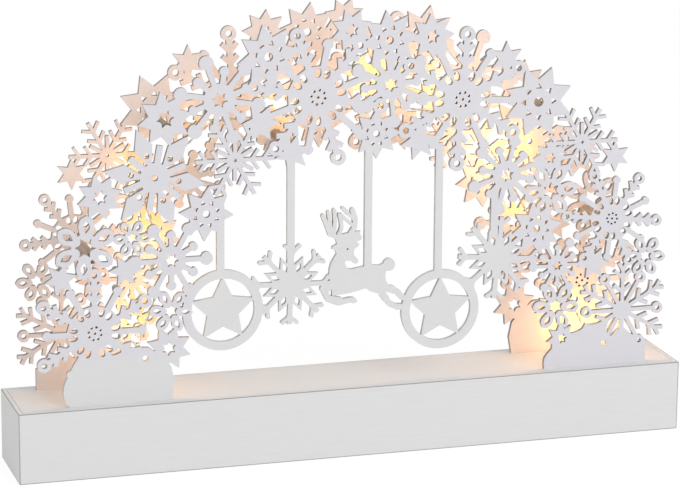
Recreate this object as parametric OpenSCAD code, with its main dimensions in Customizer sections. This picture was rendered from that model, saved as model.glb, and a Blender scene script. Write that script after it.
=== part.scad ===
// Winter candle arch, in millimetres.
// Two laser-cut plywood sheets of snowflake lace stand on a long hollow base, a hand's width apart in depth.
// A string of small lamps between the sheets lights the rear one. The front sheet also carries a hanging
// scene of two wheels, two snowflakes and a leaping reindeer. Cells, timer and switch are in the base.
// The origin is under the middle of the base, the front faces -Y and +Z is up.

/* [Base] */
// Length of the base
base_l = 450; // [440:5:520]
// Depth of the base, front to back
base_d = 60; // [58:1:80]
// Height of the base
base_h = 46.5; // [44:0.5:60]
// Thickness of the base's boards
board_t = 3; // [3:0.25:4]
// Height of the bottom board above the table
bottom_lift = 5; // [5:0.25:8]
// Seam left round the top and bottom boards
seam = 0.3; // [0.2:0.05:0.5]
// Width of the square blocks glued into the corners
block_w = 12; // [10:0.5:16]

/* [Sheets] */
// Length of the base that the sheets leave free at either end
arch_inset = 10; // [7:0.5:20]
// Thickness of the two cut sheets
sheet_t = 3; // [2.5:0.25:4]
// Depth of the base in front of the front sheet, and behind the rear one
sheet_inset = 7.5; // [5:0.5:9]
// Width of a tenon under a foot
tenon_w = 18; // [12:1:24]
// Narrowest slot that the cutter leaves open
slot_least = 0.3; // [0.15:0.05:0.35]
// Play of a tenon in its slot
tenon_play = 0.15; // [0.05:0.05:0.3]
// Diameter of the dowels that hold the sheets apart
dowel_d = 8; // [6:0.5:10]

/* [Lamps] */
// Diameter of a lamp's dome
lamp_d = 5; // [3:0.5:6]
// Length of a lamp from its rim to the top of its dome
lamp_l = 8; // [6:0.5:12]
// Diameter of a lamp's rim
rim_d = 5.8; // [5:0.2:8]
// Thickness of a lamp's rim
rim_t = 1; // [0.8:0.1:1.5]
// Wall of the collar that holds a lamp
collar_wall = 1.8; // [1.2:0.2:3]
// Thickness of a collar
collar_t = 3.2; // [2.4:0.2:5]
// Diameter of the twin wire
wire_d = 1.6; // [1.2:0.1:2.4]
// Outer diameter of the sleeve in the top board
sleeve_d = 9; // [7:0.5:12]
// Thickness of the sleeve's collar
sleeve_t = 1.2; // [0.8:0.1:2]

/* [Battery box] */
// Place of the box along the base, measured from the middle
box_x = 70; // [40:5:100]
// Diameter of a cell
cell_d = 14.5; // [14:0.1:15]
// Length of a cell without its button
cell_l = 49.5; // [49:0.1:51]
// Diameter of a cell's button
button_d = 5.5; // [5:0.1:6]
// Length of a cell's button
button_l = 1; // [0.8:0.1:1.4]
// Length that a contact spring fills
spring_l = 5; // [4:0.25:7]
// Diameter of the spring wire
spring_wire = 0.7; // [0.5:0.1:0.9]
// Thickness of the contact plates
plate_t = 0.5; // [0.4:0.1:0.8]
// Wall of the box
box_wall = 1.5; // [1.2:0.1:2]
// Rim of the box beyond its walls
rim_w = 4.5; // [4:0.5:7]
// Thickness of that rim
flange_t = 1.4; // [1.2:0.1:1.8]
// Thickness of the sliding cover
cover_t = 1.3; // [1:0.1:1.6]
// Play of the cover in its grooves
cover_play = 0.3; // [0.2:0.05:0.4]
// Thickness of the lips under the cover's edges
lip_t = 0.9; // [0.8:0.1:1.2]
// Reach of the lips over the cover's edges
lip_reach = 1.2; // [0.8:0.1:1.5]
// Travel of the switch between two of its three places
switch_step = 2.5; // [2:0.25:3]
// Width of the switch's thumb piece along its travel
knob_l = 4; // [3:0.5:5]
// Width of the switch's thumb piece across its travel
knob_w = 3; // [2:0.5:4]

/* [Hidden] */
// Least number of facets on true rounds
$fn = 32;
// Overrun of every cut
over = 1;
// Width of the drawing that both sheets are cut from, and the clear depth between them
arch_w = base_l - 2 * arch_inset;
sheet_gap = base_d - 2 * (sheet_inset + sheet_t);
// Size of one square of the lace drawing, which is 430 squares wide
grid_share = 1 / 430;
grid = arch_w * grid_share;
// Height in the drawing of the line where the feet stand on the base
foot_line_share = 46.5;

// Derived places of the base
top_z = base_h - board_t;
inner_l = base_l - 2 * board_t;
inner_d = base_d - 2 * board_t;
sheet_y = sheet_gap / 2;
floor_z = bottom_lift + board_t;

// Ring flake, as shares of the reach to its ring centres
plate_share = 0.485;
stem_share = 0.1;
ring_share = 0.12;
ring_hole_share = 0.05;
twig_place_shares = [0.54, 0.73];
twig_l_share = 0.17;
twig_w_share = 0.08;
short_reach_share = 0.81;
short_ball_share = 0.082;
drop_place_share = 0.37;
drop_half_angle = 11;
drop_r_share = 0.05;
drop_long_share = 1.5;
// Places in the drawing as x, height, reach and turn
ring_flake_shares = [
    [-173.5, 94.2, 38, 30],
    [-26.3, 239.5, 42.5, -11],
    [71, 233, 42.5, 26],
    [177, 147, 32, -6]
];

// Ball burst, as shares of the reach to its long balls
burst_hub_share = 0.43;
burst_stem_share = 0.14;
burst_ball_share = 0.185;
burst_short_share = 0.72;
burst_small_share = 0.13;
burst_hole_share = 0.21;
ball_sides = 7;
burst_shares = [
    [-123, 138.5, 23, 0],
    [-91, 241, 25.5, 50],
    [102.5, 181, 23, 17],
    [139.3, 117.3, 17, 0],
    [22.5, 245, 24, 35]
];

// Flower, as shares of its reach
petal_place_share = 0.64;
petal_share = 0.25;
petal_long_share = 1.44;
petal_hub_share = 0.505;
lens_place_share = 0.65;
lens_share = 0.11;
lens_long_share = 1.8;
flower_hole_share = 0.33;
flower_shares = [
    [-179, 150.5, 21, 26],
    [-148.5, 154.5, 12.5, 0],
    [133.5, 168.5, 18.5, 3],
    [139, 89, 16.5, -3],
    [202, 119.5, 14, -4],
    [-123.5, 105, 14.5, -5]
];

// Gear star, as shares of its reach
gear_inner_share = 0.62;
gear_notch_ring_share = 0.42;
gear_notch_share = 0.1;
gear_hole_share = 0.135;
gear_points = 8;
gear_shares = [
    [21.3, 274, 19.5, 7],
    [-59, 267, 21, 11],
    [123.5, 228.5, 24, 23],
    [124, 143.5, 18, 10],
    [13, 213.5, 16.5, 0],
    [-100, 167.5, 18, -5]
];

// Framed star with a star-shaped hole, as shares of its reach
frame_inner_share = 0.62;
frame_hole_share = 0.33;
frame_hole_inner_share = 0.6;
hole_points = 6;
frame_star_shares = [
    [-125, 80.5, 15, 26],
    [-126.5, 230.5, 18, 10],
    [-169, 182.5, 15, 15],
    [-4, 281.5, 14, 20],
    [50, 275, 15, 5],
    [132.5, 190.5, 12, 0],
    [143.8, 66.8, 11, 10]
];

// Plain star
plain_inner_share = 0.5;
plain_points = 6;
plain_star_shares = [
    [-195, 131, 11, 12],
    [-153, 134, 11, 0],
    [-64, 224.5, 13, 0],
    [-43, 204, 12.5, 15],
    [101, 258, 11.5, 30],
    [178, 189, 10.5, 30],
    [165, 117, 11.5, 0],
    [42, 207, 13, 10]
];

// Kite flake, as shares of its reach
kite_hub_share = 0.3;
kite_waist_share = 0.3;
kite_waist_half_share = 0.045;
kite_wide_share = 0.62;
kite_half_share = 0.18;
kite_bar_share = 0.12;
kite_hole_shares = [[0.46, 0.056]];
kite_eye_share = 0.06;
kite_flake_shares = [[-133.5, 193, 34, -10]];

// Fern flake, as shares of its reach
fern_stem_share = 0.1;
fern_needle_place_shares = [0.42, 0.72];
fern_needle_share = 0.3;
fern_needle_w_share = 0.085;
fern_short_share = 0.52;
fern_eye_share = 0.04;
fern_flake_shares = [
    [154.5, 200, 25, 0],
    [-81, 201.5, 26, 0]
];

// Lattice flake, as shares of its reach
lattice_hub_share = 0.22;
lattice_stem_share = 0.09;
lattice_ring_place_share = 0.84;
lattice_ring_share = 0.13;
lattice_ring_hole_share = 0.055;
lattice_chevron_place_shares = [0.42, 0.74];
lattice_chevron_share = 0.26;
lattice_chevron_w_share = 0.085;
lattice_fork_place_share = 0.92;
lattice_fork_share = 0.19;
lattice_flake_shares = [[186, 83.5, 30, 0]];

// Trident flake of the hanging scene, as shares of its reach
trident_arm_share = 0.12;
trident_prong_place_share = 0.78;
trident_prong_share = 0.25;
trident_prong_w_share = 0.105;
trident_kite_tip_share = 0.74;
trident_kite_wide_share = 0.42;
trident_kite_half_share = 0.15;
trident_hole_place_share = 0.45;
trident_hole_share = 0.062;
trident_hole_long_share = 2;
trident_flake_shares = [
    [-43.8, 117.3, 26.5, -2],
    [97.5, 125.5, 27.5, -5]
];

// Wheels with a five-pointed star
wheel_reach_share = 26.7;
wheel_inner_share = 0.785;
wheel_star_share = 0.83;
wheel_star_inner_share = 0.41;
wheel_shares = [
    [-89.3, 103.4, wheel_reach_share, 90],
    [57.8, 93.5, wheel_reach_share, 90]
];

// Rods of the hanging scene as x, lower end and upper end
rod_w_share = 5;
rod_shares = [
    [-90.7, 128, 172],
    [-44, 125, 204],
    [8, 120, 212],
    [56, 118, 205],
    [94.5, 130, 172]
];

// Reindeer, drawn in squares of the lace drawing
deer_body_shares = [
    [-12.5, 137], [-15, 133], [-17, 129.4], [-18, 125.5], [-18.3, 121.5], [-17.6, 117], [-16.5, 112],
    [-16, 107.6], [-7, 108.4], [-1.5, 109.3], [4.3, 110.6], [7.4, 110.8], [9.5, 109],
    [15, 107], [21, 108], [22.5, 112.5], [20.4, 115.5], [20.1, 120], [21, 123.5], [18.5, 126.8],
    [15.5, 126], [11, 126.6], [5.5, 126], [-1.7, 124.9], [-5.5, 125.4], [-7.2, 127.9], [-7.7, 130.1],
    [-5.5, 131], [-3, 134]
];
deer_head_shares = [
    [-13, 135], [-14.4, 138], [-16.6, 139], [-15.6, 140.8], [-13, 142], [-14.5, 146], [-12, 149],
    [-9, 148.4], [-6, 149], [-2, 149.5], [2.8, 149.8], [2.4, 148], [4, 145.6], [2.9, 143.8], [0.3, 142.8],
    [2.1, 141.2], [1.5, 139.7], [-0.4, 138.8], [-1.7, 136.2], [-1.3, 133.8], [0.6, 131.8], [1.2, 129.4],
    [0.1, 128.3], [-1.8, 128.7], [-3.4, 130.1], [-5.5, 130.4], [-9, 130.5]
];
// Strokes of the reindeer as a width and then its points
deer_stroke_shares = [
    [4.6, [-15, 114], [-21.5, 114.5], [-22, 111.5]],
    [4.2, [-22.3, 113], [-18.8, 106.2], [-10, 104]],
    [3.6, [-18.5, 105.3], [-12, 102.6], [-4, 104.2], [-1, 103.4]],
    [5, [15, 112], [21, 110.5], [26, 108.5]],
    [4, [24, 110], [28.5, 107], [32, 103]],
    [4.6, [14, 111], [18, 107], [21, 102.5]],
    [4, [20, 104], [23.5, 99.5], [28, 97.2], [31, 97]],
    [3.4, [17, 124.6], [20.5, 126.2], [22.4, 127.4]],
    [3, [-13, 146.5], [-17.6, 148.6], [-19, 152.5], [-22.4, 161.2]],
    [2.6, [-17, 150], [-18.8, 163.4]],
    [2.6, [-15, 149], [-14.4, 158], [-15, 164.6]],
    [2.6, [-12, 148], [-10, 152.5], [-10.5, 158], [-11.5, 161.5]],
    [3.2, [-4, 148.5], [-1.2, 152.5], [-0.8, 158.5], [-2.8, 164]],
    [2.4, [-1, 156.5], [-5.2, 161.2], [-9.2, 165.6]],
    [2.4, [-2, 153.5], [-6.2, 157.2], [-10.6, 161.4]]
];
deer_tail_shares = [22.4, 126, 4.2];
deer_eye_shares = [-6, 138.4, 0.75];

// Feet of the lace, in squares of the drawing
mound_shares = [
    [-190, 46.5], [-193.4, 51], [-194.4, 57], [-193, 63], [-190.4, 68.5], [-187, 75], [-184, 78],
    [-160, 79], [-150, 83], [-138, 82], [-130.5, 76], [-123.5, 68], [-121.5, 58], [-123.5, 46.5]
];
snow_shares = [60, 18];
block_foot_shares = [
    [131.5, 46.5], [131.5, 54], [136.5, 60], [137, 66], [151, 70], [161, 75], [174, 77], [176.5, 66],
    [187, 68.5], [200, 64], [203.5, 60.5], [203.5, 46.5]
];
tenon_shares = [-175, -141, 150, 186];

// Spacer dowels in the drawing
dowel_shares = [
    [-174.5, 143], [174.5, 143], [-126, 224], [126, 224], [-42.5, 207.4], [42.5, 207.4]
];
dowels = len(dowel_shares);

// Lamps in the drawing, from the left foot over the arch to the right foot
lamp_shares = [
    [-150, 82], [-131, 133], [-147, 188], [-96, 232], [-36, 234],
    [21, 236], [78, 226], [107, 188], [127, 152], [170, 68]
];
lamps = len(lamp_shares);

// Battery box sizes
cell_play = 0.4;
cell_pitch = cell_d + 2 * cell_play;
well_l = cell_l + button_l + spring_l + plate_t * 2;
well_w = 2 * cell_pitch + cell_play;
well_h = cell_d + 2 * cell_play;
flange_z = bottom_lift - flange_t;
cover_z = flange_z - cover_play - cover_t;
lip_z = cover_z - cover_play - lip_t;
cover_w = well_w + 2 * box_wall;
cover_l = well_l + 2 * box_wall;
cover_travel = 40;
rail_w = 2;
switch_room = 20;
box_l = well_l + 2 * box_wall;
box_w = well_w + 2 * box_wall;
flange_l = box_l + switch_room + 2 * rim_w;
flange_w = box_w + 2 * rim_w;
flange_x = -switch_room / 2;
cell_z = bottom_lift + cell_play + cell_d / 2;
switch_x = -box_l / 2 - switch_room / 2;
slider_l = 8;
slider_w = 6;
slider_t = 1.2;
slider_play = 0.3;
switch_wall = 1.4;
switch_h = 7;
card_t = 1.6;
card_l = 16;
card_w = 22;
card_z = bottom_lift + switch_h;
knob_reach = 1.4;

slider_room_l = slider_l + 2 * switch_step + 2 * slider_play;
slider_room_w = slider_w + 2 * slider_play;
slot_l = knob_l + 2 * switch_step + 2 * slider_play;
card_x = box_x + switch_x;
chip_w = 5;
plate_w = 9;
spring_r = 4.2;
spring_turns = 4;
grip_count = 4;
grip_pitch = 2.4;
grip_t = 1;
grip_h = 0.5;
grip_w = 16;

// Screws of the bottom board
screw_d = 3;
screw_head_d = 6;
screw_head_t = 1.6;
screw_l = 14;
screw_slot = 0.9;
screw_inset = block_w / 2;

// Sleeve, collars and wire
sleeve_x_share = -152;
sleeve_x = sleeve_x_share * grid;
sleeve_y = 0;
sleeve_bore = wire_d * 2;
collar_play = 0.1;
collar_r = rim_d / 2 + collar_play + collar_wall;
wire_clear = 0.3;
wire_bend = 8;
wire_y = -sheet_y + collar_t + wire_clear + wire_d / 2;
wire_run_z = top_z - wire_bend * 2;

// Flat bar from the origin along x
module bar(l, w) {
    translate([0, -w / 2])
        square([l, w]);
}

// Bar with a round end
module twig(l, w) {
    bar(l, w);
    translate([l, 0])
        circle(d = w, $fn = 4);
}

// Chain of bars with round joints through a list of points
module stroke(points, w) {
    for (i = [0 : len(points) - 2]) {
        leg = points[i + 1] - points[i];
        translate(points[i])
            rotate(atan2(leg[1], leg[0]))
                twig(norm(leg), w);
    }
    translate(points[0])
        circle(d = w, $fn = 8);
}

// Star with its first point along x
module star(r, inner, points) {
    polygon([for (i = [0 : 2 * points - 1])
        (i % 2 == 0 ? r : r * inner) * [cos(180 * i / points), sin(180 * i / points)]]);
}

// Puts its child at each place of a table and passes the reach on as $reach
module set_out(places) {
    for (p = places) {
        $reach = p[2] * grid;
        translate([p[0] * grid, p[1] * grid])
            rotate(p[3])
                children();
    }
}

module ring_flake(r) {
    circle(r = r * plate_share, $fn = 12);
    for (k = [0 : 5]) {
        rotate(60 * k) {
            bar(r, r * stem_share);
            translate([r, 0])
                circle(r = r * ring_share, $fn = 8);
            for (t = twig_place_shares, side = [-1, 1])
                translate([r * t, 0])
                    rotate(45 * side)
                        bar(r * twig_l_share, r * twig_w_share);
        }
        rotate(60 * k + 30) {
            bar(r * short_reach_share, r * stem_share);
            translate([r * short_reach_share, 0])
                circle(r = r * short_ball_share, $fn = 6);
        }
    }
}

module ring_flake_holes(r) {
    for (k = [0 : 5]) {
        rotate(60 * k)
            translate([r, 0])
                circle(r = r * ring_hole_share, $fn = 6);
        for (side = [-1, 1])
            rotate(60 * k + 30 + drop_half_angle * side)
                translate([r * drop_place_share, 0])
                    scale([drop_long_share, 1])
                        circle(r = r * drop_r_share, $fn = 4);
    }
}

module ball_burst(r) {
    circle(r = r * burst_hub_share, $fn = 12);
    for (k = [0 : 5]) {
        rotate(60 * k) {
            bar(r, r * burst_stem_share);
            translate([r, 0])
                rotate(180 / ball_sides)
                    circle(r = r * burst_ball_share, $fn = ball_sides);
        }
        rotate(60 * k + 30) {
            bar(r * burst_short_share, r * burst_stem_share);
            translate([r * burst_short_share, 0])
                circle(r = r * burst_small_share, $fn = 6);
        }
    }
}

module flower(r) {
    circle(r = r * petal_hub_share, $fn = 6);
    for (k = [0 : 5])
        rotate(60 * k)
            translate([r * petal_place_share, 0])
                scale([petal_long_share, 1])
                    circle(r = r * petal_share, $fn = 8);
}

module flower_holes(r) {
    rotate(180 / hole_points)
        star(r * flower_hole_share, frame_hole_inner_share, hole_points);
    for (k = [0 : 5])
        rotate(60 * k)
            translate([r * lens_place_share, 0])
                scale([lens_long_share, 1])
                    circle(r = r * lens_share, $fn = 4);
}

module gear_star_holes(r) {
    circle(r = r * gear_hole_share, $fn = 6);
    for (k = [0 : gear_points - 1])
        rotate(360 * (k + 0.5) / gear_points)
            translate([r * gear_notch_ring_share, 0])
                circle(r = r * gear_notch_share, $fn = 3);
}

module kite_flake(r) {
    circle(r = r * kite_hub_share, $fn = 12);
    for (k = [0 : 5]) {
        rotate(60 * k)
            polygon([
                [0, -r * kite_waist_half_share], [r * kite_waist_share, -r * kite_waist_half_share],
                [r * kite_wide_share, -r * kite_half_share], [r, 0],
                [r * kite_wide_share, r * kite_half_share],
                [r * kite_waist_share, r * kite_waist_half_share], [0, r * kite_waist_half_share]
            ]);
        rotate(60 * k + 30)
            bar(r * kite_wide_share, r * kite_bar_share);
    }
}

module kite_flake_holes(r) {
    circle(r = r * kite_eye_share, $fn = 8);
    for (k = [0 : 5], h = kite_hole_shares)
        rotate(60 * k)
            translate([r * h[0], 0])
                circle(r = r * h[1], $fn = 6);
}

module fern_flake(r) {
    for (k = [0 : 5]) {
        rotate(60 * k) {
            bar(r, r * fern_stem_share);
            for (t = fern_needle_place_shares, side = [-1, 1])
                translate([r * t, 0])
                    rotate(55 * side)
                        bar(r * fern_needle_share, r * fern_needle_w_share);
        }
        rotate(60 * k + 30)
            bar(r * fern_short_share, r * fern_stem_share);
    }
}

module lattice_flake(r) {
    rotate(15)
        circle(r = r * lattice_hub_share, $fn = 12);
    for (k = [0 : 5]) {
        rotate(60 * k) {
            bar(r * lattice_ring_place_share, r * lattice_stem_share);
            translate([r * lattice_ring_place_share, 0])
                circle(r = r * lattice_ring_share, $fn = 8);
        }
        rotate(60 * k + 30) {
            bar(r * lattice_fork_place_share, r * lattice_stem_share);
            for (side = [-1, 1])
                translate([r * lattice_fork_place_share, 0])
                    rotate(30 * side)
                        bar(r * lattice_fork_share, r * lattice_chevron_w_share);
            for (t = lattice_chevron_place_shares, side = [-1, 1])
                translate([r * t, 0])
                    rotate(50 * side)
                        bar(r * lattice_chevron_share, r * lattice_chevron_w_share);
        }
    }
}

module lattice_flake_holes(r) {
    for (k = [0 : 5])
        rotate(60 * k)
            translate([r * lattice_ring_place_share, 0])
                circle(r = r * lattice_ring_hole_share, $fn = 6);
}

module trident_flake(r) {
    for (k = [0 : 7]) {
        rotate(45 * k) {
            bar(r, r * trident_arm_share);
            for (side = [-1, 1])
                translate([r * trident_prong_place_share, 0])
                    rotate(45 * side)
                        twig(r * trident_prong_share, r * trident_prong_w_share);
        }
        rotate(45 * k + 22.5)
            polygon([
                [0, 0], [r * trident_kite_wide_share, -r * trident_kite_half_share],
                [r * trident_kite_tip_share, 0], [r * trident_kite_wide_share, r * trident_kite_half_share]
            ]);
    }
}

module trident_flake_holes(r) {
    for (k = [0 : 7])
        rotate(45 * k + 22.5)
            translate([r * trident_hole_place_share, 0])
                scale([trident_hole_long_share, 1])
                    circle(r = r * trident_hole_share, $fn = 4);
}

module wheel(r) {
    difference() {
        circle(r = r, $fn = 32);
        circle(r = r * wheel_inner_share, $fn = 25);
    }
    star(r * wheel_star_share, wheel_star_inner_share / wheel_star_share, 5);
}

module reindeer() {
    polygon(deer_body_shares * grid);
    polygon(deer_head_shares * grid);
    for (s = deer_stroke_shares)
        stroke([for (i = [1 : len(s) - 1]) s[i] * grid], s[0] * grid);
    translate([deer_tail_shares[0] * grid, deer_tail_shares[1] * grid])
        circle(r = deer_tail_shares[2] * grid, $fn = 12);
}

// Snow mound and square foot that the lace grows from
module feet() {
    polygon(mound_shares * grid);
    polygon(block_foot_shares * grid);
}

// Outline of the lace that both sheets share, in the plane of the drawing
module lace() {
    set_out(ring_flake_shares)
        ring_flake($reach);
    set_out(burst_shares)
        ball_burst($reach);
    set_out(flower_shares)
        flower($reach);
    set_out(gear_shares)
        star($reach, gear_inner_share, gear_points);
    set_out(frame_star_shares)
        star($reach, frame_inner_share, gear_points);
    set_out(plain_star_shares)
        star($reach, plain_inner_share, plain_points);
    set_out(kite_flake_shares)
        kite_flake($reach);
    set_out(fern_flake_shares)
        fern_flake($reach);
    set_out(lattice_flake_shares)
        lattice_flake($reach);
    feet();
    for (x = tenon_shares)
        translate([x * grid - tenon_w / 2, foot_line_share * grid - board_t])
            square([tenon_w, board_t + over]);
}

// Holes that stay open wherever flakes cross. The snow mound closes the ring that dips into it
module lace_holes() {
    difference() {
        set_out(ring_flake_shares)
            ring_flake_holes($reach);
        translate([mound_shares[0][0] * grid, foot_line_share * grid])
            square(snow_shares * grid);
    }
    set_out(burst_shares)
        star($reach * burst_hole_share, frame_hole_inner_share, hole_points);
    set_out(flower_shares)
        flower_holes($reach);
    set_out(gear_shares)
        gear_star_holes($reach);
    set_out(frame_star_shares)
        star($reach * frame_hole_share, frame_hole_inner_share, hole_points);
    set_out(kite_flake_shares)
        kite_flake_holes($reach);
    set_out(fern_flake_shares)
        circle(r = $reach * fern_eye_share, $fn = 6);
    set_out(lattice_flake_shares)
        lattice_flake_holes($reach);
}

// Hanging scene of the front sheet
module scene() {
    for (r = rod_shares)
        translate([(r[0] - rod_w_share / 2) * grid, r[1] * grid])
            square([rod_w_share * grid, (r[2] - r[1]) * grid]);
    set_out(trident_flake_shares)
        trident_flake($reach);
    set_out(wheel_shares)
        wheel($reach);
    reindeer();
}

module scene_holes() {
    set_out(trident_flake_shares)
        trident_flake_holes($reach);
    translate([deer_eye_shares[0] * grid, deer_eye_shares[1] * grid])
        circle(r = deer_eye_shares[2] * grid, $fn = 8);
}

// Puts a drawing on the base, with the sheet's rear face at y
module stand_up(y) {
    translate([0, y, base_h - foot_line_share * grid])
        rotate([90, 0, 0])
            children();
}

// Spaces that an outline encloses
module windows() {
    difference() {
        fill()
            children();
        children();
    }
}

// Sheet cut round its first child, less the holes of its second. Its windows stay, but not slivers of them
module cut_sheet() {
    linear_extrude(sheet_t)
        difference() {
            offset(delta = 0)
                fill()
                    children(0);
            offset(delta = 0)
                intersection() {
                    offset(delta = slot_least / 2)
                        offset(delta = -slot_least / 2)
                            windows()
                                children(0);
                    windows()
                        children(0);
                }
            children(1);
        }
}

module front_sheet() {
    color("#d9d7de")
        stand_up(-sheet_y)
            cut_sheet() {
                union() {
                    lace();
                    scene();
                }
                union() {
                    lace_holes();
                    scene_holes();
                }
            }
}

module rear_sheet() {
    color("#f3d3ae")
        stand_up(sheet_y + sheet_t)
            cut_sheet() {
                mirror([1, 0])
                    lace();
                mirror([1, 0])
                    lace_holes();
            }
}

// Board with mitred ends, its outer face on the x axis, running along x
module mitred_board(l) {
    linear_extrude(base_h)
        polygon([
            [-l / 2, 0], [l / 2, 0],
            [l / 2 - board_t, board_t], [-l / 2 + board_t, board_t]
        ]);
}

module front_board() {
    color("#dcdcdc")
        translate([0, -base_d / 2, 0])
            mitred_board(base_l);
}

module rear_board() {
    color("#dcdcdc")
        rotate(180)
            translate([0, -base_d / 2, 0])
                mitred_board(base_l);
}

module left_end_board() {
    color("#d4d4d6")
        rotate(-90)
            translate([0, -base_l / 2, 0])
                mitred_board(base_d);
}

module right_end_board() {
    color("#d4d4d6")
        rotate(90)
            translate([0, -base_l / 2, 0])
                mitred_board(base_d);
}

// Board between the four walls, with the seam all round
module inset_board(z) {
    translate([-inner_l / 2 + seam, -inner_d / 2 + seam, z])
        cube([inner_l - 2 * seam, inner_d - 2 * seam, board_t]);
}

// Slots for the tenons of one sheet, whose nearer face is at y
module tenon_slots(y, side) {
    for (x = tenon_shares)
        translate([side * x * grid - tenon_w / 2 - tenon_play, y - tenon_play, top_z - over])
            cube([tenon_w + 2 * tenon_play, sheet_t + 2 * tenon_play, board_t + 2 * over]);
}

module top_board() {
    color("#ddd5cd")
        difference() {
            inset_board(top_z);
            tenon_slots(-sheet_y - sheet_t, 1);
            tenon_slots(sheet_y, -1);
            translate([sleeve_x, sleeve_y, top_z - over])
                cylinder(d = sleeve_d, h = board_t + 2 * over);
        }
}

module bottom_board() {
    color("#c9a877")
        difference() {
            inset_board(bottom_lift);
            translate([box_x - box_l / 2 - switch_room - seam, -box_w / 2 - seam, bottom_lift - over])
                cube([box_l + switch_room + 2 * seam, box_w + 2 * seam, board_t + 2 * over]);
            at_corners(screw_inset)
                translate([0, 0, bottom_lift - over])
                    cylinder(d = screw_d + 2 * tenon_play, h = board_t + 2 * over);
        }
}

// Puts its child near each corner of the base, set in from the inner walls
module at_corners(inset) {
    for (side = [-1, 1], face = [-1, 1])
        translate([side * (inner_l / 2 - inset), face * (inner_d / 2 - inset), 0])
            children();
}

module corner_block(i) {
    side = i % 2 == 0 ? 1 : -1;
    face = i > 2 ? 1 : -1;
    color("#c9a877")
        difference() {
            translate([
                side * (inner_l / 2 - block_w / 2) - block_w / 2,
                face * (inner_d / 2 - block_w / 2) - block_w / 2, floor_z
            ])
                cube([block_w, block_w, top_z - floor_z]);
            at_corners(screw_inset)
                translate([0, 0, floor_z - over])
                    cylinder(d = screw_d, h = screw_l - board_t + over);
        }
}

module bottom_screws() {
    color("#b8babd")
        at_corners(screw_inset)
            difference() {
                union() {
                    translate([0, 0, bottom_lift - screw_head_t])
                        cylinder(d = screw_head_d, h = screw_head_t);
                    translate([0, 0, bottom_lift - screw_head_t])
                        cylinder(d = screw_d, h = screw_l + screw_head_t);
                }
                for (turn = [0, 90])
                    rotate(turn)
                        translate([-screw_head_d / 3, -screw_slot / 2, bottom_lift - screw_head_t - over])
                            cube([screw_head_d * 2 / 3, screw_slot, screw_slot + over]);
            }
}

module spacer_dowel(i) {
    place = dowel_shares[i - 1];
    color("#a9743f")
        translate([place[0] * grid, sheet_y, base_h + (place[1] - foot_line_share) * grid])
            rotate([90, 0, 0])
                cylinder(d = dowel_d, h = sheet_gap);
}

// Puts its child at a lamp's place, on the rear face of the front sheet, with the child's z axis pointing back
module at_lamp(i) {
    place = lamp_shares[i - 1];
    translate([place[0] * grid, -sheet_y, base_h + (place[1] - foot_line_share) * grid])
        rotate([-90, 0, 0])
            children();
}

module lamp(i) {
    color("#fff1d2")
        at_lamp(i) {
            cylinder(d = rim_d, h = rim_t);
            cylinder(d = lamp_d, h = lamp_l - lamp_d / 2);
            translate([0, 0, lamp_l - lamp_d / 2])
                sphere(d = lamp_d);
        }
}

module lamp_collar(i) {
    color("#f2f0ec")
        at_lamp(i)
            difference() {
                cylinder(d = rim_d + 2 * collar_play + 2 * collar_wall, h = collar_t);
                translate([0, 0, -over])
                    cylinder(d = rim_d + 2 * collar_play, h = collar_t + 2 * over);
            }
}

// Round tube of six sides through a list of points. It never runs along the direction named across
module tube(points, d, across) {
    n = len(points);
    sides = 6;
    way = [for (i = [0 : n - 1]) unit(points[min(i + 1, n - 1)] - points[max(i - 1, 0)])];
    side_a = [for (w = way) unit(cross(w, across))];
    rings = [for (i = [0 : n - 1], k = [0 : sides - 1])
        points[i] + d / 2 * (cos(360 * k / sides) * side_a[i] + sin(360 * k / sides) * cross(way[i], side_a[i]))];
    walls = [for (i = [0 : n - 2], k = [0 : sides - 1])
        [i * sides + k, i * sides + (k + 1) % sides, (i + 1) * sides + (k + 1) % sides, (i + 1) * sides + k]];
    ends = [
        [for (k = [sides - 1 : -1 : 0]) k],
        [for (k = [0 : sides - 1]) (n - 1) * sides + k]
    ];
    polyhedron(points = rings, faces = [for (f = concat(walls, ends)) [for (v = [len(f) - 1 : -1 : 0]) f[v]]]);
}

function unit(v) = v / norm(v);

// Direction of the row of lamps where it passes lamp i, in the plane of the drawing
function lamp_way(i) = unit(lamp_shares[min(i + 1, lamps - 1)] - lamp_shares[max(i - 1, 0)]);

// Place of the wire behind lamp i, just clear of its collar on the inner side of the arch
function past_lamp(i) =
    let (aside = (collar_r + wire_clear + wire_d / 2) * [lamp_way(i)[1], -lamp_way(i)[0]])
    [
        lamp_shares[i][0] * grid + aside[0],
        wire_y,
        base_h + (lamp_shares[i][1] - foot_line_share) * grid + aside[1]
    ];

// The wire leaves the card, runs under the top board, rises through the sleeve and follows the lamps
module lamp_wire() {
    color("#e9e4d8")
        tube(concat(
            [
                [card_x, 0, card_z + card_t],
                [card_x, 0, wire_run_z],
                [sleeve_x + wire_bend, 0, wire_run_z],
                [sleeve_x, sleeve_y, wire_run_z + wire_bend],
                [sleeve_x, sleeve_y, base_h + wire_bend],
                [sleeve_x, wire_y, base_h + 2 * wire_bend]
            ],
            [for (i = [0 : lamps - 1]) past_lamp(i)]
        ), wire_d, [0, 1, 0]);
}

module wire_sleeve() {
    color("#3a3a3c")
        translate([sleeve_x, sleeve_y, top_z])
            difference() {
                union() {
                    cylinder(d = sleeve_d, h = board_t);
                    translate([0, 0, -sleeve_t])
                        cylinder(d = sleeve_d + 2 * sleeve_t, h = sleeve_t);
                }
                translate([0, 0, -sleeve_t - over])
                    cylinder(d = sleeve_bore, h = board_t + sleeve_t + 2 * over);
            }
}

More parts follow.
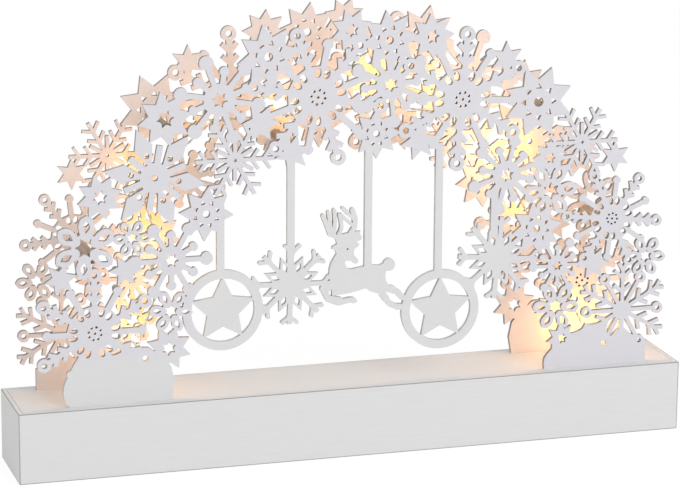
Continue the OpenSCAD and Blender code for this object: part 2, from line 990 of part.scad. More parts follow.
// Rail with a lip that holds one long edge of the cover, for the side at +y
module cover_rail() {
    translate([-box_l / 2, cover_w / 2 + cover_play, lip_z])
        cube([box_l, rail_w, flange_z - lip_z]);
    translate([-box_l / 2, cover_w / 2 - lip_reach, lip_z])
        cube([box_l, lip_reach + cover_play + rail_w, lip_t]);
}

module battery_box() {
    color("#e6e6e4")
        translate([box_x, 0, 0])
            difference() {
                union() {
                    translate([flange_x - flange_l / 2, -flange_w / 2, flange_z])
                        cube([flange_l, flange_w, flange_t]);
                    translate([-box_l / 2, -box_w / 2, flange_z])
                        cube([box_l, box_w, flange_t + well_h + box_wall]);
                    translate([switch_x - switch_room / 2, -box_w / 2, flange_z])
                        cube([switch_room, box_w, flange_t + switch_h]);
                    cover_rail();
                    mirror([0, 1, 0])
                        cover_rail();
                    translate([-box_l / 2 - rail_w - cover_play, -cover_w / 2 - cover_play, lip_z])
                        cube([rail_w, cover_w + 2 * cover_play, flange_z - lip_z]);
                }
                translate([-well_l / 2, -well_w / 2, flange_z - over])
                    cube([well_l, well_w, flange_t + well_h + over]);
                translate([switch_x - slider_room_l / 2, -slider_room_w / 2, bottom_lift])
                    cube([slider_room_l, slider_room_w, slider_t + 2 * slider_play]);
                translate([switch_x - slot_l / 2, -knob_w / 2 - slider_play, flange_z - over])
                    cube([slot_l, knob_w + 2 * slider_play, flange_t + 2 * over]);
                translate([switch_x - slot_l / 2, -knob_w / 2, bottom_lift])
                    cube([slot_l, knob_w, switch_h - switch_wall]);
            }
}

module battery_cover() {
    color("#e0e0de")
        translate([box_x, 0, 0]) {
            translate([-cover_l / 2, -cover_w / 2, cover_z])
                cube([cover_l, cover_w, cover_t]);
            for (k = [0 : grip_count - 1])
                translate([cover_l / 2 - grip_pitch * (k + 1), -grip_w / 2, cover_z - grip_h])
                    cube([grip_t, grip_w, grip_h + cover_t / 2]);
        }
}

// The switch rests at its lit place, one step from the middle
module switch_slider() {
    color("#2c2c2e")
        translate([box_x + switch_x - switch_step, 0, 0]) {
            translate([-slider_l / 2, -slider_w / 2, bottom_lift + slider_play])
                cube([slider_l, slider_w, slider_t]);
            translate([-knob_l / 2, -knob_w / 2, flange_z - knob_reach])
                cube([knob_l, knob_w, knob_reach + flange_t + slider_play + slider_t]);
        }
}

module timer_card() {
    color("#2f6b3c")
        translate([card_x, 0, card_z]) {
            translate([-card_l / 2, -card_w / 2, 0])
                cube([card_l, card_w, card_t]);
            translate([-chip_w / 2, card_w / 2 - chip_w - card_t, card_t])
                cube([chip_w, chip_w, card_t]);
        }
}

// Cell lying along x in bay 1 or 2, its button at +x in the first and at -x in the second
module cell(i) {
    way = i == 1 ? 1 : -1;
    color(i == 1 ? "#3f4f5a" : "#46565f")
        translate([box_x, way * cell_pitch / 2, cell_z])
            rotate([0, 90 * way, 0])
                translate([0, 0, -well_l / 2 + plate_t + spring_l]) {
                    cylinder(d = cell_d, h = cell_l);
                    cylinder(d = button_d, h = cell_l + button_l);
                }
}

// Cone spring that presses on the flat end of each cell
module contact_springs() {
    steps = spring_turns * 8;
    color("#c9ccd0")
        for (way = [1, -1])
            translate([box_x, way * cell_pitch / 2, cell_z])
                rotate([0, 90 * way, 0])
                    translate([0, 0, -well_l / 2 + plate_t + spring_wire / 2])
                        tube([for (k = [0 : steps])
                            let (r = spring_r * (1 - k / steps / 2))
                            [r * cos(45 * k), r * sin(45 * k), (spring_l - spring_wire) * k / steps]
                        ], spring_wire, [0, 0, 1]);
}

module contact_plates() {
    color("#c9ccd0")
        for (side = [-1, 1], way = [-1, 1])
            translate([
                box_x + side * (well_l / 2 - plate_t / 2) - plate_t / 2,
                way * cell_pitch / 2 - plate_w / 2, cell_z - plate_w / 2
            ])
                cube([plate_t, plate_w, plate_w]);
}

front_board();
rear_board();
left_end_board();
right_end_board();
top_board();
bottom_board();
for (i = [1 : 4])
    corner_block(i);
front_sheet();
rear_sheet();
for (i = [1 : dowels])
    spacer_dowel(i);
battery_box();
battery_cover();
switch_slider();
timer_card();
for (i = [1 : 2])
    cell(i);
contact_springs();
contact_plates();
wire_sleeve();
lamp_wire();
bottom_screws();
for (i = [1 : lamps])
    lamp(i);
for (i = [1 : lamps])
    lamp_collar(i);
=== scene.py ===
# Looks of the winter candle arch: its camera, studio, lamp glow, finishes and fine details.
import math

import bmesh
import bpy
from mathutils import Matrix, Vector
from mathutils.geometry import delaunay_2d_cdt


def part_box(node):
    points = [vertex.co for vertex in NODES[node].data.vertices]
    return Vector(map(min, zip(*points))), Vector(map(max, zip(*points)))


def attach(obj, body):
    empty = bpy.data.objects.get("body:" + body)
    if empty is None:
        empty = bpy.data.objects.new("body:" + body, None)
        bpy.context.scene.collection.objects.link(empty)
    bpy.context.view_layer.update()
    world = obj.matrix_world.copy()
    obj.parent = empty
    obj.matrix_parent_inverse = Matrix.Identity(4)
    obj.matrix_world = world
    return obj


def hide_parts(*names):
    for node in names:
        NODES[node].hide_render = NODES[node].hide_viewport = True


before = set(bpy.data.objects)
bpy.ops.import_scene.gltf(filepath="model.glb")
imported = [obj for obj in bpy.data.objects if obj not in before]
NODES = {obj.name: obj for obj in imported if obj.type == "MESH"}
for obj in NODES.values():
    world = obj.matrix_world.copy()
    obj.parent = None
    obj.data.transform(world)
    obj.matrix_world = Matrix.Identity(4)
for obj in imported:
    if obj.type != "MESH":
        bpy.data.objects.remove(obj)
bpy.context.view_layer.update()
MM = 0.001

# The camera, worked out from the corners of the base in the photograph, with its angles in radians
PHOTO_WIDTH, PHOTO_HEIGHT = 680, 487
FOCAL_PX = 3088.4
CENTRE_PX = (300.4, 235.1)
CAMERA_PLACE = Vector((-574.6, -1872.7, 629.8)) * MM
CAMERA_YAW, CAMERA_PITCH, CAMERA_ROLL = 0.2824, 0.2442, 0.0037
SENSOR, CLIP_END = 36, 50

# The studio: its soft lamps as name, place and power, the level of its world, and its floor
STUDIO_LAMPS = [("key", (1.0, -2.2, 1.5), 26), ("fill", (-1.8, -1.6, 1.2), 6)]
STUDIO_LAMP_SIZE, STUDIO_AIM = 1.6, (0, 0, 0.1)
WORLD_LEVEL = 0.72
FLOOR_REACH, FLOOR_DROP, FLOOR_SIDES = 6.0, 0.2 * MM, 64
FLOOR_GREY, FLOOR_GLOW, FLOOR_GLOW_SHARE = 0.8, 1.08, 0.82

# The base's boards, the lines where they meet, the painted shadow along their foot, and their sanded
# edges
BOARDS = ["front_board", "rear_board", "left_end_board", "right_end_board", "top_board"]
SEAM_AND_SHADOW_W, EASED_EDGE = 0.5 * MM, 0.25 * MM
BASE_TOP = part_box("top_board")[1][2]

# The lace drawing: its squares, of which the arch is 430 wide, and the height in it of the base's top
GRID = MM
FOOT_LINE = 46.5

# Ring flakes of the lace as x, height, reach and turn
RING_FLAKES = [(-173.5, 94.2, 38, 30), (-26.3, 239.5, 42.5, -11), (71, 233, 42.5, 26), (177, 147, 32, -6)]
# The dots in their hubs and the char and painted shade on the walls round them, as shares of the reach
DOTS, DOT_SIDES = 8, 12
DOT_RING_SHARE, DOT_SHARE = 0.11, 0.022
CHAR_AND_SHADE_SHARE = DOT_RING_SHARE + 1.5 * DOT_SHARE
# Times its own reach at which the char and painted shade have faded out
CHAR_AND_SHADE_FADE = 1.1

# What tells a facet of a round from a real corner, with bends in degrees, more than 0 round the wood
ROUND_EDGE = 11 * MM
ROUND_BENDS = (-50, 61)
# Bends at the middle and at the sides of a round end that has three corners
CAP_BENDS, CAP_SIDE_BENDS = (80, 100), (40, 50)
# Bend from which the corner of a drop-shaped hole is a tip
TIP_BEND = 115
# Ratios up to which sizes are alike, and from which an edge runs straight into a round
ALIKE, STRAIGHT = 1.03, 1.3
# Degrees: a round left as it is, what one new edge of a round takes, and a bend that is shaded smooth
LEAST_SWEEP, EDGE_SWEEP, SMOOTH_BEND = 2, 12, 28
# Least part of a unit normal along an axis that a face looks along: sheet's front, any finish, cell's end
FRONT_FACING, FACING, END_FACING = 0.9, 0.6, 0.7
# Distances at which points are one: between corners of the solid, and between the sheet's outlines
WELD, SAME_PLACE = 1e-6, 1e-7

# Where the lace's paint changes to a lighter copy of it on the scene that hangs in it, painted light from
# the lamps near it, and how fast, per metre
SCENE_HEIGHT, SCENE_REACH, MOUND_HEIGHT, SOFT_CHANGE = 98 * MM, 112 * MM, 80 * MM, 120.0

# Where the beam of each lamp meets the rear sheet, as x and height in the lace drawing, and its strength
BEAMS = [
    (-134, 96, 1.0), (-127, 158, 1.1), (-137, 198, 0.5), (-99, 214, 0.35), (-43, 226, 0.7),
    (22, 244, 1.0), (55, 237, 1.1), (117, 187, 1.9), (124, 152, 0.6), (165, 69, 2.0),
]
# Spread of a beam in degrees, the lights' powers, their size, and their distance from the dome
BEAM_SPREAD, BEAM_POWER, HALO_POWER = 80, 0.034, 0.024
GLOW_SIZE, GLOW_AHEAD = 2.5 * MM, 3.5 * MM
# Reach of the painted warm light round a beam of strength 1, and of its core
PAINTED_GLOW_REACH, PAINTED_GLOW_CORE = 20 * MM, 3 * MM
DOME_STRENGTH = 6.0

# The twin wire, as the solid under it is routed
LAMPS = sum(name.startswith("lamp_collar_") for name in NODES)
WIRE_D, WIRE_BEND, WIRE_CLEAR, CARD_T = 1.6 * MM, 8 * MM, 0.3 * MM, 1.6 * MM
WIRE_STEP, WIRE_TWIST = 1.0 * MM, 9.0 * MM

# Colours as linear light: paint
WHITE_PAINT = (0.72, 0.72, 0.725)
LACE_PAINT = (0.685, 0.675, 0.712)
# The lace's paint, lighter on the scene that hangs in the arch: painted light from the lamps near it
SCENE_PAINT_LIT = (0.698, 0.698, 0.702)
# The rear sheet's white paint, tinted warm all over: painted glow of the lamps on it
REAR_PAINT_IN_LAMP_GLOW = (0.745, 0.67, 0.645)
# Painted light: the warm pool of lamp light on the front of the rear sheet round each beam
PAINTED_BEAM_GLOW = (0.77, 0.60, 0.39)
# Dark lines of the base: seams at its corners and rim, and painted shadow along its foot
SEAM_AND_FOOT_SHADOW = (0.33, 0.325, 0.32)
# Wood
BURNT_EDGE = (0.40, 0.37, 0.35)
PALE_EDGE = (0.56, 0.565, 0.58)
# Walls of the pierced dots: char, and painted shade deep in the narrow holes
CHAR_AND_HOLE_SHADE = (0.05, 0.045, 0.04)
RAW_WOOD = (0.52, 0.34, 0.18)
DOWEL_WOOD = (0.42, 0.34, 0.27)
# Plastic and metal
BOX_PLASTIC = (0.78, 0.78, 0.765)
DARK_PLASTIC = (0.028, 0.028, 0.03)
COLLAR_PLASTIC = (0.8, 0.78, 0.74)
WIRE_SKIN = (0.74, 0.72, 0.66)
CARD_GREEN = (0.02, 0.13, 0.045)
JACKET = (0.05, 0.09, 0.12)
STEEL = (0.62, 0.62, 0.63)
NICKEL = (0.74, 0.72, 0.68)
ZINC = (0.6, 0.61, 0.63)
# Light
FROST, PALE_FROST = (0.9, 0.8, 0.62), (1.0, 0.93, 0.8)
GLOW = (1.0, 0.56, 0.2)
BEAM = (1.0, 0.62, 0.14)
HALO = (1.0, 0.60, 0.29)

# Stretch of a grain that runs along an axis, or along none
ALONG_X, ALONG_Y, ALONG_Z, ALONG_NONE = (0.05, 1, 1), (1, 0.08, 1), (1, 1, 0.08), (1, 1, 1)
# Values of a noise at which it has its first and its last colour
NOISE_LOW, NOISE_HIGH = 0.3, 0.7
# Sockets of the Mix node for its factor and its two colours, and the one that gives their mixture
MIX_FACTOR, MIX_FIRST, MIX_SECOND, MIX_RESULT = 0, 6, 7, 2


def middle(name):
    low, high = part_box(name)
    return [(a + b) / 2 for a, b in zip(low, high)]


def from_drawing(x, height, depth=0.0):
    """Place in metres of a point of the lace drawing."""
    return Vector((x * GRID, depth, BASE_TOP + (height - FOOT_LINE) * GRID))


def numbered(stem):
    return [name for name in NODES if name.startswith(stem) and name[len(stem):].isdigit()]


def placed(name, data):
    """A new object of the scene that shows the data."""
    piece = bpy.data.objects.new(name, data)
    bpy.context.scene.collection.objects.link(piece)
    return piece


def new_material(name):
    mat = bpy.data.materials.new(name)
    mat.use_nodes = True
    tree = mat.node_tree
    shader = tree.nodes["Principled BSDF"]
    return mat, tree, shader


def grain(tree, stretch, scale, detail):
    """Noise as a value round one half, drawn out along an axis where the stretch is small."""
    coords = tree.nodes.new("ShaderNodeTexCoord")
    drawn = tree.nodes.new("ShaderNodeMapping")
    drawn.inputs["Scale"].default_value = stretch
    noise = tree.nodes.new("ShaderNodeTexNoise")
    noise.inputs["Scale"].default_value = scale
    noise.inputs["Detail"].default_value = detail
    tree.links.new(coords.outputs["Object"], drawn.inputs["Vector"])
    tree.links.new(drawn.outputs["Vector"], noise.inputs["Vector"])
    return noise.outputs["Fac"]


def ramp(tree, noise, first, last):
    """Colour that runs from the first to the last as the noise rises."""
    node = tree.nodes.new("ShaderNodeValToRGB")
    low, high = node.color_ramp.elements
    low.position = NOISE_LOW
    low.color = (*first, 1)
    high.position = NOISE_HIGH
    high.color = (*last, 1)
    tree.links.new(noise, node.inputs["Fac"])
    return node.outputs["Color"]


def tones(tree, noise, colour, dark, light):
    """The colour between a dark and a light tone of it, as shares of its own."""
    first, last = [tuple(part * share for part in colour) for share in (dark, light)]
    return ramp(tree, noise, first, last)


def put(tree, socket, value):
    """Puts a number, a colour or what another node gives into a socket."""
    if isinstance(value, (int, float)):
        socket.default_value = value
    elif isinstance(value, tuple):
        socket.default_value = (*value, 1)
    else:
        tree.links.new(value, socket)


def math_node(tree, operation, first, second=0.0):
    node = tree.nodes.new("ShaderNodeMath")
    node.operation = operation
    put(tree, node.inputs[0], first)
    put(tree, node.inputs[1], second)
    return node.outputs[0]


def mix(tree, factor, first, second):
    """First colour where the factor is 0 and second where it is 1."""
    node = tree.nodes.new("ShaderNodeMix")
    node.data_type = "RGBA"
    put(tree, node.inputs[MIX_FACTOR], factor)
    put(tree, node.inputs[MIX_FIRST], first)
    put(tree, node.inputs[MIX_SECOND], second)
    return node.outputs[MIX_RESULT]


def bump(tree, shader, height, distance, strength):
    node = tree.nodes.new("ShaderNodeBump")
    node.inputs["Strength"].default_value = strength
    node.inputs["Distance"].default_value = distance
    tree.links.new(height, node.inputs["Height"])
    tree.links.new(node.outputs["Normal"], shader.inputs["Normal"])


def part_of(tree, coordinate, axis):
    """One part of the surface's place or normal, in the object's own frame."""
    coords = tree.nodes.new("ShaderNodeTexCoord")
    parts = tree.nodes.new("ShaderNodeSeparateXYZ")
    tree.links.new(coords.outputs[coordinate], parts.inputs[0])
    return parts.outputs[axis]


def beyond(tree, coordinate, axis, limit):
    """1 where that part of the place or normal is beyond a limit, either way."""
    size = math_node(tree, "ABSOLUTE", part_of(tree, coordinate, axis))
    return math_node(tree, "GREATER_THAN", size, limit)


def softly_less(tree, value, limit):
    """Above 0 where a value is under a limit, and below 0 where it is over it."""
    return math_node(tree, "MULTIPLY", math_node(tree, "SUBTRACT", limit, value), SOFT_CHANGE)


def in_the_arch(tree):
    """1 on the scene that hangs in the arch and on the snow mound, where the paint is drawn lighter as
    painted light, 0 on the lace.
    """
    across = part_of(tree, "Object", 0)
    height = part_of(tree, "Object", 2)
    up = math_node(tree, "SUBTRACT", height, SCENE_HEIGHT)
    squares = [math_node(tree, "MULTIPLY", away, away) for away in (across, up)]
    far = math_node(tree, "SQRT", math_node(tree, "ADD", *squares))
    within = softly_less(tree, far, SCENE_REACH)
    left = softly_less(tree, across, -SCENE_REACH)
    low = softly_less(tree, height, MOUND_HEIGHT)
    mound = math_node(tree, "MINIMUM", left, low)
    inside = math_node(tree, "MAXIMUM", math_node(tree, "MAXIMUM", within, mound), 0.0)
    return math_node(tree, "MINIMUM", inside, 1.0)


def near(tree, places):
    """1 within the core of the nearest place, falling to 0 at its reach."""
    coords = tree.nodes.new("ShaderNodeTexCoord")
    nearest = 0.0
    for place, core, reach in places:
        away = tree.nodes.new("ShaderNodeVectorMath")
        away.operation = "DISTANCE"
        tree.links.new(coords.outputs["Object"], away.inputs[0])
        away.inputs[1].default_value = place
        inward = math_node(tree, "SUBTRACT", reach, away.outputs["Value"])
        share = math_node(tree, "DIVIDE", inward, reach - core)
        nearest = math_node(tree, "MAXIMUM", nearest, share)
    return math_node(tree, "MINIMUM", nearest, 1.0)


def beam_places():
    """Where each lamp's beam meets the front of the rear sheet, in metres, and how strong it is."""
    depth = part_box("rear_sheet")[0][1]
    return [(from_drawing(x, height, depth), strength) for x, height, strength in BEAMS]


def painted_glow_near_a_beam(tree):
    """1 where a beam meets the front of the rear sheet, falling to 0 at the reach of the warm light that
    is painted there.
    """
    forward = math_node(tree, "LESS_THAN", part_of(tree, "Normal", 1), -FACING)
    places = [(place, PAINTED_GLOW_CORE, PAINTED_GLOW_REACH * strength ** 0.5) for place, strength in beam_places()]
    return math_node(tree, "MULTIPLY", forward, near(tree, places))


def in_a_hub(tree, node, side):
    """1 in the hubs whose dots are pierced, so that their walls can be painted near black: char, and the
    shade deep in the narrow holes.
    """
    depth = middle(node)[1]
    half_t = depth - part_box(node)[0][1]
    places = []
    for x, height, reach, _ in RING_FLAKES:
        edge = math.hypot(reach * CHAR_AND_SHADE_SHARE * GRID, half_t)
        places.append((from_drawing(side * x, height, depth), edge, CHAR_AND_SHADE_FADE * edge))
    return near(tree, places)


def sheet_paint(name, node, side, paint, inner_paint, inner):
    """Paint over plywood, a copy of it in painted light where inner is 1, with the layered edge that a
    laser leaves.
    """
    mat, tree, shader = new_material(name)
    within = inner(tree)
    fine = grain(tree, stretch=(0.12, 1, 1), scale=900, detail=4)
    faces = [tones(tree, fine, colour, dark=0.985, light=1.01) for colour in (paint, inner_paint)]
    layers = grain(tree, stretch=(0.4, 6, 0.4), scale=260, detail=2)
    burnt = tones(tree, layers, BURNT_EDGE, dark=0.35, light=1.4)
    pale = tones(tree, layers, PALE_EDGE, dark=0.8, light=1.1)
    # The dots' walls are painted near black: char, and painted shade in the narrow holes
    walls = mix(tree, in_a_hub(tree, node, side), mix(tree, within, burnt, pale), CHAR_AND_HOLE_SHADE)
    colour = mix(tree, beyond(tree, "Normal", 1, FACING), walls, mix(tree, within, *faces))
    tree.links.new(colour, shader.inputs["Base Color"])
    shader.inputs["Roughness"].default_value = 0.62
    shader.inputs["Specular IOR Level"].default_value = 0.3
    bump(tree, shader, fine, distance=0.08 * MM, strength=0.3)
    return mat


def base_paint(name, paint):
    """Paint on the base's boards, with dark seam lines at their corners and rim, and a painted shadow
    line along their foot.
    """
    mat, tree, shader = new_material(name)
    fine = grain(tree, stretch=(0.06, 1, 1), scale=700, detail=4)
    low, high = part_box("front_board")
    at_end = beyond(tree, "Object", 0, high[0] - SEAM_AND_SHADOW_W)
    at_side = beyond(tree, "Object", 1, -low[1] - SEAM_AND_SHADOW_W)
    corner = math_node(tree, "MULTIPLY", at_end, at_side)
    # A painted shadow line along the foot of the boards, where they stand on the floor
    foot = math_node(tree, "LESS_THAN", part_of(tree, "Object", 2), SEAM_AND_SHADOW_W)
    top = math_node(tree, "GREATER_THAN", part_of(tree, "Object", 2), BASE_TOP - SEAM_AND_SHADOW_W)
    rim = math_node(tree, "MULTIPLY", math_node(tree, "MAXIMUM", at_end, at_side), top)
    line = math_node(tree, "MAXIMUM", math_node(tree, "MAXIMUM", corner, foot), rim)
    face = tones(tree, fine, paint, dark=0.98, light=1.015)
    tree.links.new(mix(tree, line, face, SEAM_AND_FOOT_SHADOW), shader.inputs["Base Color"])
    shader.inputs["Roughness"].default_value = 0.58
    shader.inputs["Specular IOR Level"].default_value = 0.3
    bump(tree, shader, fine, distance=0.1 * MM, strength=0.3)
    return mat


def wood(name, colour, along, scale=260):
    mat, tree, shader = new_material(name)
    rings = grain(tree, along, scale, detail=6)
    tree.links.new(tones(tree, rings, colour, dark=0.7, light=1.2), shader.inputs["Base Color"])
    shader.inputs["Roughness"].default_value = 0.7
    bump(tree, shader, rings, distance=0.2 * MM, strength=0.5)
    return mat


def moulded(name, colour, rough=0.42):
    """Plastic with the faint mottle of a moulded surface."""
    mat, tree, shader = new_material(name)
    mottle = grain(tree, ALONG_NONE, scale=2200, detail=2)
    tree.links.new(tones(tree, mottle, colour, dark=0.96, light=1.03), shader.inputs["Base Color"])
    shader.inputs["Roughness"].default_value = rough
    bump(tree, shader, mottle, distance=0.05 * MM, strength=0.25)
    return mat


def metal(name, colour, rough=0.28):
    mat, tree, shader = new_material(name)
    brushed = grain(tree, stretch=(1, 8, 8), scale=1500, detail=3)
    tree.links.new(tones(tree, brushed, colour, dark=0.85, light=1.0), shader.inputs["Base Color"])
    shader.inputs["Metallic"].default_value = 1.0
    shader.inputs["Roughness"].default_value = rough
    bump(tree, shader, brushed, distance=0.03 * MM, strength=0.3)
    return mat


def lamp_dome(name, glow, strength):
    """Frosted dome that glows."""
    mat, tree, shader = new_material(name)
    frost = grain(tree, ALONG_NONE, scale=3000, detail=2)
    tree.links.new(ramp(tree, frost, FROST, PALE_FROST), shader.inputs["Base Color"])
    shader.inputs["Roughness"].default_value = 0.25
    shader.inputs["Coat Weight"].default_value = 0.6
    shader.inputs["Emission Color"].default_value = (*glow, 1)
    shader.inputs["Emission Strength"].default_value = strength
    return mat


def cell_jacket(name, colour):
    """A cell's jacket, with bare steel at its two ends."""
    mat, tree, shader = new_material(name)
    ends = beyond(tree, "Normal", 0, END_FACING)
    wear = grain(tree, stretch=(0.2, 1, 1), scale=400, detail=2)
    jacket = tones(tree, wear, colour, dark=0.92, light=1.08)
    tree.links.new(mix(tree, ends, jacket, STEEL), shader.inputs["Base Color"])
    tree.links.new(ends, shader.inputs["Metallic"])
    shader.inputs["Roughness"].default_value = 0.3
    return mat


def dress(names, mat):
    for name in names:
        slots = NODES[name].material_slots
        if slots:
            for place in slots:
                place.material = mat
        else:
            NODES[name].data.materials.append(mat)


def dress_all():
    dress(BOARDS, base_paint("base_paint", WHITE_PAINT))
    dress(["bottom_board"], wood("bottom_ply", RAW_WOOD, ALONG_X))
    dress(numbered("corner_block_"), wood("block_wood", RAW_WOOD, ALONG_Z))
    dress(numbered("spacer_dowel_"), wood("dowel_wood", DOWEL_WOOD, ALONG_Y, scale=500))
    dress(["battery_box", "battery_cover"], moulded("box_plastic", BOX_PLASTIC))
    dress(["switch_slider", "wire_sleeve"], moulded("dark_plastic", DARK_PLASTIC, rough=0.5))
    dress(["timer_card"], moulded("circuit_card", CARD_GREEN, rough=0.35))
    dress(["cell_1", "cell_2"], cell_jacket("cell_jacket", JACKET))
    dress(["contact_springs", "contact_plates"], metal("nickel", NICKEL))
    dress(["bottom_screws"], metal("zinc", ZINC, rough=0.34))
    dress(numbered("lamp_"), lamp_dome("lamp_glow", GLOW, DOME_STRENGTH))
    dress(numbered("lamp_collar_"), moulded("collar_plastic", COLLAR_PLASTIC))


def looks_forward(face):
    return face.normal.y < -FRONT_FACING


def outline_loops(node):
    """Closed outlines on the front face of a cut sheet, as (x, z) points with the wood on their left."""
    mesh = bmesh.new()
    mesh.from_mesh(NODES[node].data)
    bmesh.ops.remove_doubles(mesh, verts=mesh.verts, dist=WELD)
    mesh.verts.index_update()
    ways = {}
    for face in filter(looks_forward, mesh.faces):
        for corner in face.loops:
            beside = [other for other in corner.edge.link_faces if other is not face]
            if not any(looks_forward(other) for other in beside):
                ways.setdefault(corner.vert.index, []).append(corner.link_loop_next.vert.index)
    places = [Vector((vert.co.x, vert.co.z)) for vert in mesh.verts]
    mesh.free()
    loops = []
    while ways:
        first = next(iter(ways))
        path, here = [], first
        while not path or here != first:
            onward = ways[here]
            if path and len(onward) > 1:
                came = places[here] - path[-1]
                onward.sort(key=lambda there: bend(came, places[there] - places[here]))
            path.append(places[here])
            there = onward.pop()
            if not onward:
                del ways[here]
            here = there
        loops.append(path)
    return loops


def bend(first, second):
    """Angle in degrees from one direction to the next, more than 0 where it bends round the wood."""
    return math.degrees(math.atan2(first.x * second.y - first.y * second.x, first.dot(second)))


def alike(sizes):
    return max(sizes) < ALIKE * min(sizes)


def between(value, limits):
    return limits[0] < value < limits[1]


def soft_corners(edges, bends):
    """Which corners of a loop stand for part of a round, and not for a real corner."""
    count = len(edges)
    sizes = [edge.length for edge in edges]
    turns = [abs(angle) for angle in bends]
    one_way = min(bends) > 0 or max(bends) < 0
    if count > 4 and one_way and alike(sizes) and alike(turns):
        return [True] * count
    if count == 4 and max(bends) < 0 and alike(sizes):
        return [turn < TIP_BEND for turn in turns]
    soft = []
    for i, angle in enumerate(bends):
        beside = (bends[i - 1], bends[(i + 1) % count])
        capped = between(angle, CAP_BENDS) and all(between(other, CAP_SIDE_BENDS) for other in beside)
        short = max(sizes[i - 1], sizes[i]) < ROUND_EDGE
        soft.append((between(angle, ROUND_BENDS) or capped) and short)
    return soft


def rounded(points):
    """A loop with its facets turned back into the rounds that they stand for. Real corners stay."""
    count = len(points)
    edges = [points[(i + 1) % count] - points[i] for i in range(count)]
    bends = [bend(edges[i - 1], edges[i]) for i in range(count)]
    soft = soft_corners(edges, bends)
    leaving, arriving = [0.0] * count, [0.0] * count
    for i in range(count):
        if not soft[i]:
            continue
        long_in, long_out = edges[i - 1].length, edges[i].length
        same_before = soft[i - 1] and bends[i - 1] * bends[i] > 0
        same_after = soft[(i + 1) % count] and bends[(i + 1) % count] * bends[i] > 0
        share = long_in / (long_in + long_out)
        if long_in > STRAIGHT * long_out and not same_before:
            share = 0.0
        elif long_out > STRAIGHT * long_in and not same_after:
            share = 1.0
        arriving[i] = math.radians(bends[i] * share)
        leaving[i] = math.radians(bends[i] * (share - 1))
    curve = []
    for i in range(count):
        curve.append(points[i])
        curve += arc(points[i], edges[i], leaving[i], arriving[(i + 1) % count])
    return curve


def arc(start, edge, out_angle, in_angle):
    """Points between the ends of an edge, on the curve that leaves and arrives at these angles to it."""
    sweep = abs(out_angle) + abs(in_angle)
    if sweep < math.radians(LEAST_SWEEP):
        return []
    end = start + edge
    way = edge.normalized()
    # Length of a cubic curve's handles that keeps it on a circle
    reach = edge.length / (3 * math.cos(sweep / 4) ** 2)
    first = start + turned(way, out_angle) * reach
    last = end - turned(way, in_angle) * reach
    steps = max(2, math.ceil(math.degrees(sweep) / EDGE_SWEEP))
    curve = []
    for k in range(1, steps):
        u = k / steps
        opening = start * (1 - u) ** 3 + first * 3 * u * (1 - u) ** 2
        curve.append(opening + last * 3 * u ** 2 * (1 - u) + end * u ** 3)
    return curve


def turned(way, angle):
    return Vector((
        way.x * math.cos(angle) - way.y * math.sin(angle),
        way.x * math.sin(angle) + way.y * math.cos(angle),
    ))


def round_the(centre, radius, angle):
    return centre + Vector((math.cos(angle), math.sin(angle))) * radius


def pierced_dots(side):
    """Fine dots pierced in the hub of each ring flake, as loops with the wood on their left."""
    rim = [math.radians(-360 / DOT_SIDES * k) for k in range(DOT_SIDES)]
    loops = []
    for x, height, reach, turn in RING_FLAKES:
        centre = from_drawing(side * x, height).xz
        places = [centre]
        for k in range(DOTS):
            angle = math.radians(side * turn + 360 * k / DOTS)
            places.append(round_the(centre, reach * DOT_RING_SHARE * GRID, angle))
        for place in places:
            loops.append([round_the(place, reach * DOT_SHARE * GRID, angle) for angle in rim])
    return loops


def wood_between(loops):
    """The sheet inside its loops, as points and triangles. The wood is on the left of every loop."""
    places, ways = [], []
    for loop in loops:
        start, count = len(places), len(loop)
        places += loop
        ways += [(start + i, start + (i + 1) % count) for i in range(count)]
    flat, edges, tiles, _, owners, _ = delaunay_2d_cdt(places, ways, [], 0, SAME_PLACE)
    # Layers of wood that a step over each edge adds, from its right to its left
    step = {}
    for (a, b), owner in zip(edges, owners):
        along = [places[ways[way][1]] - places[ways[way][0]] for way in owner]
        added = sum(1 if (flat[b] - flat[a]).dot(line) > 0 else -1 for line in along)
        step[(a, b)], step[(b, a)] = added, -added
    beside = {side: number for number, tile in enumerate(tiles) for side in sides_of(tile)}
    # Layers of wood on each tile, counted inward from the tiles at the rim
    layers = {number: step[side] for side, number in beside.items() if side[::-1] not in beside}
    front = list(layers)
    while front:
        number = front.pop()
        for side in sides_of(tiles[number]):
            other = beside.get(side[::-1])
            if other is not None and other not in layers:
                layers[other] = layers[number] - step[side]
                front.append(other)
    return flat, [tile for number, tile in enumerate(tiles) if layers[number] > 0]


def sides_of(tile):
    return zip(tile, tile[1:] + tile[:1])


def cut_lace(name, node, side):
    """The cut sheet of a node with true rounds and its pierced dots."""
    loops = [rounded(loop) for loop in outline_loops(node)] + pierced_dots(side)
    flat, wood_tiles = wood_between(loops)
    front_y, rear_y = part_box(node)[0][1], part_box(node)[1][1]
    mesh = bmesh.new()
    front = [mesh.verts.new((p.x, front_y, p.y)) for p in flat]
    rear = [mesh.verts.new((p.x, rear_y, p.y)) for p in flat]
    # The tiles' sides that no other tile shares, in the order in which they were met
    rims = {}
    for tile in wood_tiles:
        mesh.faces.new([front[i] for i in tile])
        mesh.faces.new([rear[i] for i in reversed(tile)])
        for a, b in sides_of(tile):
            if (b, a) in rims:
                del rims[(b, a)]
            else:
                rims[(a, b)] = True
    for a, b in rims:
        wall = mesh.faces.new((front[b], front[a], rear[a], rear[b]))
        wall.smooth = True
    bmesh.ops.delete(mesh, geom=[vert for vert in mesh.verts if not vert.link_faces], context="VERTS")
    for edge in mesh.edges:
        edge.smooth = len(edge.link_faces) == 2 and edge.calc_face_angle(0) < math.radians(SMOOTH_BEND)
    data = bpy.data.meshes.new(name)
    mesh.to_mesh(data)
    mesh.free()
    return placed(name, data)


